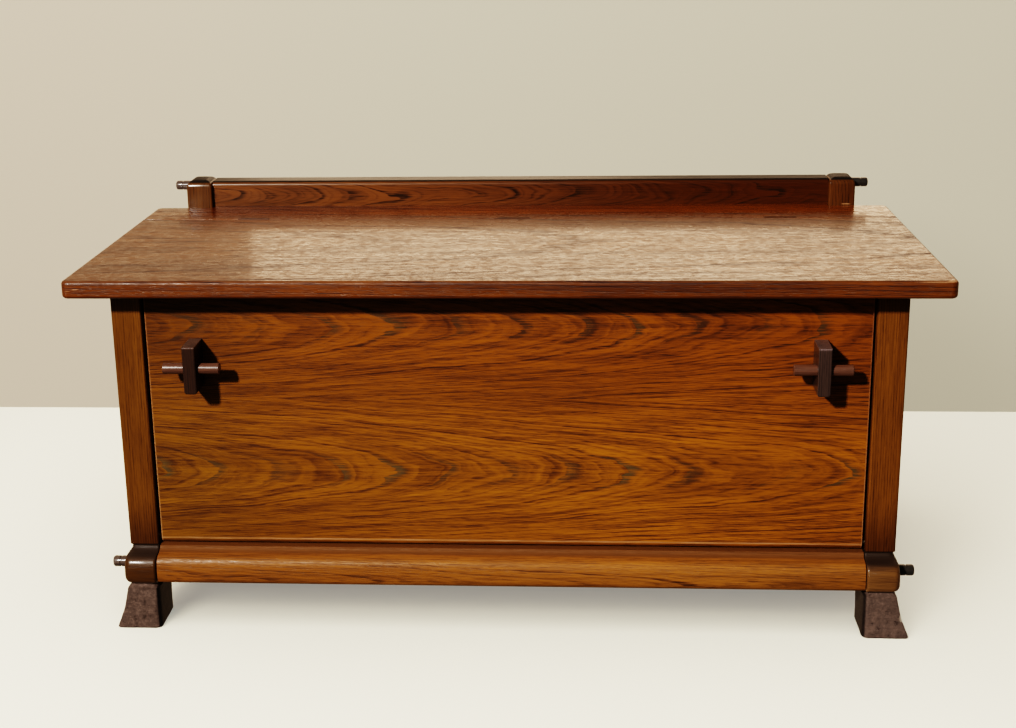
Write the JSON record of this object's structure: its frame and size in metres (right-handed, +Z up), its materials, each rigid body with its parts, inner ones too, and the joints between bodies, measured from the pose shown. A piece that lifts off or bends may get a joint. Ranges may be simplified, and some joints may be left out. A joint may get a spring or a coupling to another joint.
{
  "type": "low chest on moulded base",
  "caption": "Low wide oak chest: hinged lid in front of a fixed strip, fall flap with bar pulls, rear gallery, corner posts and a moulded base on splayed feet.",
  "frame": {"origin": "on the floor, under the middle of the whole piece", "axes": "+X to the right of somebody facing the front, +Y to the back, +Z up; the front faces -Y"},
  "size_m": [1.2, 0.556, 0.572],
  "materials": {
    "top_oak": "gloss",
    "post_oak": "satin",
    "gallery_oak": "gloss",
    "flap_oak": "satin",
    "base_oak": "satin",
    "block_oak": "satin",
    "foot_oak": "matte",
    "pin_oak": "satin",
    "pull_oak": "satin",
    "dowel_oak": "satin",
    "plain_oak": "matte",
    "dark_hinge": "satin",
    "steel": "satin",
    "bush_brass": "satin"
  },
  "bodies": {
    "case": {"corner_block_front_right": "block_oak", "corner_block_front_left": "block_oak", "corner_block_rear_right": "block_oak", "corner_block_rear_left": "block_oak", "foot_front_right": "foot_oak", "foot_front_left": "foot_oak", "foot_rear_right": "foot_oak", "foot_rear_left": "foot_oak", "foot_dowels": "plain_oak", "base_pin_front_right": "pin_oak", "base_pin_front_left": "pin_oak", "base_pin_rear_right": "pin_oak", "base_pin_rear_left": "pin_oak", "base_rail_front": "base_oak", "base_rail_rear": "base_oak", "base_rail_right": "base_oak", "base_rail_left": "base_oak", "front_post_right": "post_oak", "front_post_left": "post_oak", "rear_post_right": "post_oak", "rear_post_left": "post_oak", "header_rail": "plain_oak", "top_rail_rear": "plain_oak", "top_rail_right": "plain_oak", "top_rail_left": "plain_oak", "gallery_rail": "gallery_oak", "gallery_pin_right": "pin_oak", "gallery_pin_left": "pin_oak", "side_panel_right": "plain_oak", "side_panel_left": "plain_oak", "back_panel": "plain_oak", "bottom_board": "plain_oak", "top_strip": "top_oak", "hinge_leaves_strip": "dark_hinge", "hinge_screws_strip": "steel", "hinge_pins": "dark_hinge", "flap_bushes": "bush_brass", "catch_magnets": "steel"},
    "lid": {"lid_board": "top_oak", "lid_batten_right": "plain_oak", "lid_batten_left": "plain_oak", "batten_screws": "steel", "hinge_leaves_lid": "dark_hinge", "hinge_screws_lid": "steel"},
    "flap": {"flap_board": "flap_oak", "handle_bar_right": "pull_oak", "handle_bar_left": "pull_oak", "handle_dowel_right": "dowel_oak", "handle_dowel_left": "dowel_oak", "handle_screws": "steel", "flap_pins": "steel", "catch_keepers": "steel"}
  },
  "joints": [
    {"name": "lid_hinge", "type": "hinge", "parent": "case", "child": "lid", "pos_m": [0, 0.127, 0.527], "axis": [-1, 0, 0], "range_deg": [0, 100]},
    {"name": "flap_hinge", "type": "hinge", "parent": "case", "child": "flap", "pos_m": [0, -0.212, 0.1285], "axis": [1, 0, 0], "range_deg": [0, 90]}
  ]
}
